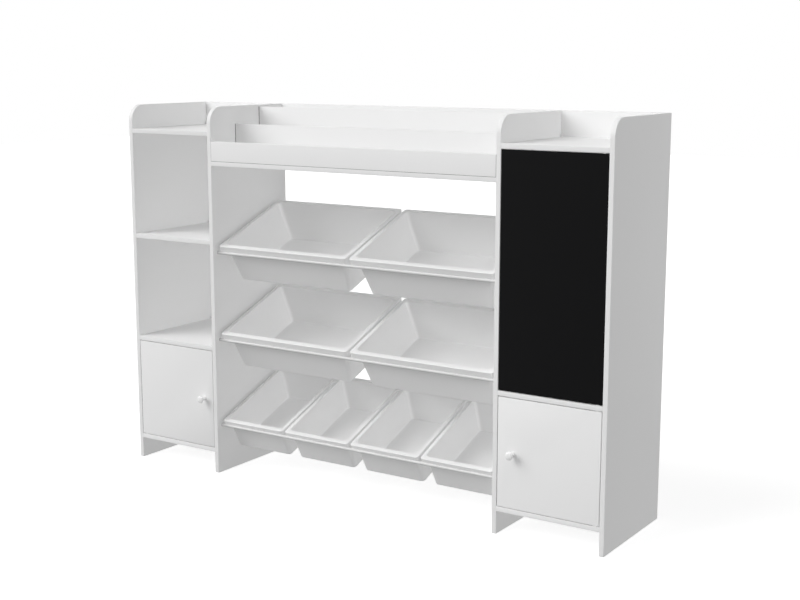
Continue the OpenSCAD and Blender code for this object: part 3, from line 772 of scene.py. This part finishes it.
joint_shade_boxes = []
for node, width in LINE_WIDTHS.items():
    low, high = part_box(node)
    _, y, z = middle_of(low, high)
    half = (width, (high[1] - low[1]) / 2 + PROUD, (high[2] - low[2]) / 2)
    joint_shade_boxes.append(((high[0], y, z), half))
low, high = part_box("display_lip")
joint_shade_boxes.append(((0, low[1], low[2]), (high[0], SEAM_DEPTH, SEAM_HALF)))
paint_joint_shade(FINISHES["white_board"], joint_shade_boxes)
print("joint lines:", len(joint_shade_boxes))


# %% Put the finishes on
def paint(piece, finish_name):
    piece.data.materials.clear()
    piece.data.materials.append(FINISHES[finish_name])


for part in frame["record"]["subparts"]:
    paint(nodes[part["node"]], part["material_slot"])
white_boards = other_boards + [doors["left_door"], doors["right_door"]]
COATS = [  # pieces, their finish, and the record's slot that it stands for
    (panels, "upright_panel", "white_board"),
    (white_boards, "white_board", "white_board"),
    ([doors["chalkboard_door"]], "chalkboard", "chalkboard"),
    (bins, "bin_plastic", "bin_plastic"),
    (rails, "rail_paint", "rail_paint"),
    (knobs, "knob_paint", "knob_paint"),
]
for pieces, finish_name, slot in COATS:
    for piece in pieces:
        paint(piece, finish_name)
    print(finish_name, "on", len(pieces), "pieces")

# %% [markdown]
# ## Floor and background
# The photograph has a pure white ground. More light would whiten it, but would also burn out the
# boards. So the floor, a plain sheet that still takes the shadow, and the world are brightened only
# where the camera, a shine or clear glass shows them. The floor sends no light back up, so the
# faces that look down stay grey.


# %% Lay the floor
def background_ray(tree):
    """A mask that is 1 where the camera, a shine or clear glass shows the background."""
    rays = add(tree, "ShaderNodeLightPath").outputs
    seen = rays["Is Camera Ray"]
    for kind in ("Is Glossy Ray", "Is Transmission Ray"):
        seen = reckon(tree, "MAXIMUM", seen, rays[kind])
    return seen


FLOOR_SIZE = 24
FLOOR_DROP = 0.5 * MM
FLOOR_GREY = (0.6, 0.6, 0.6, 1)
FLOOR_GLOW = 0.68
PURE_WHITE = (1, 1, 1, 1)
bpy.ops.object.select_all(action="DESELECT")
bpy.ops.mesh.primitive_plane_add(size=FLOOR_SIZE, location=(0, 0, -FLOOR_DROP))
floor_sheet = bpy.context.object
floor_sheet.name = "studio_floor"
floor_material = bpy.data.materials.new("studio_white")
floor_material.use_nodes = True
tree = floor_material.node_tree
glow = reckon(tree, "MULTIPLY", background_ray(tree), FLOOR_GLOW)
for label, value in (
    ("Base Color", FLOOR_GREY), ("Roughness", 0.9), ("Specular IOR Level", 0.0),
    ("Emission Color", PURE_WHITE), ("Emission Strength", glow),
):
    feed(tree, value, tree.nodes["Principled BSDF"].inputs[label])
floor_sheet.data.materials.append(floor_material)
floor_sheet.visible_diffuse = False
print("floor:", FLOOR_SIZE, "m wide")

# %% [markdown]
# ## Light
# A soft key comes from the upper left front. The inside of the bays is bright in the photograph,
# and a real studio gets that from large white walls. Here weak fills from the front, the right and
# the back cast no shadow, and the white world fills the rest. That renders faster than walls would.

# %% Light the scene
AMBIENT = 0.27
world = bpy.data.worlds.new("white_studio")
bpy.context.scene.world = world
world.use_nodes = True
tree = world.node_tree
strength = add(
    tree, "ShaderNodeMapRange",
    (("Value", background_ray(tree)), ("To Min", AMBIENT), ("To Max", 1.0)),
)
ground = tree.nodes["Background"].inputs
feed(tree, PURE_WHITE, ground["Color"])
feed(tree, strength.outputs["Result"], ground["Strength"])


def sun(name, power, spread, towards, shadow):
    """A far light. towards is the direction from the bookshelf to the light."""
    data = bpy.data.lights.new(name, "SUN")
    data.energy = power
    data.angle = math.radians(spread)
    data.use_shadow = shadow
    # A fill without shadow is sampled as a lamp only, so it also reaches into the bays in full
    data.cycles.use_multiple_importance_sampling = shadow
    lamp = bpy.data.objects.new(name, data)
    x, y, z = towards
    lamp.rotation_euler = (math.atan2(math.hypot(x, y), z), 0, math.atan2(x, -y))
    bpy.context.scene.collection.objects.link(lamp)
    print(name, power)


sun("key_light", 2.5, spread=50, towards=(-1, -1, 1), shadow=True)
sun("front_fill", 0.44, spread=40, towards=(0, -1, 0.3), shadow=False)
sun("side_fill", 0.96, spread=40, towards=(1, -0.2, 0.3), shadow=False)
sun("back_fill", 0.4, spread=40, towards=(0, 1, 0.38), shadow=False)
bpy.context.scene.view_settings.view_transform = "Standard"
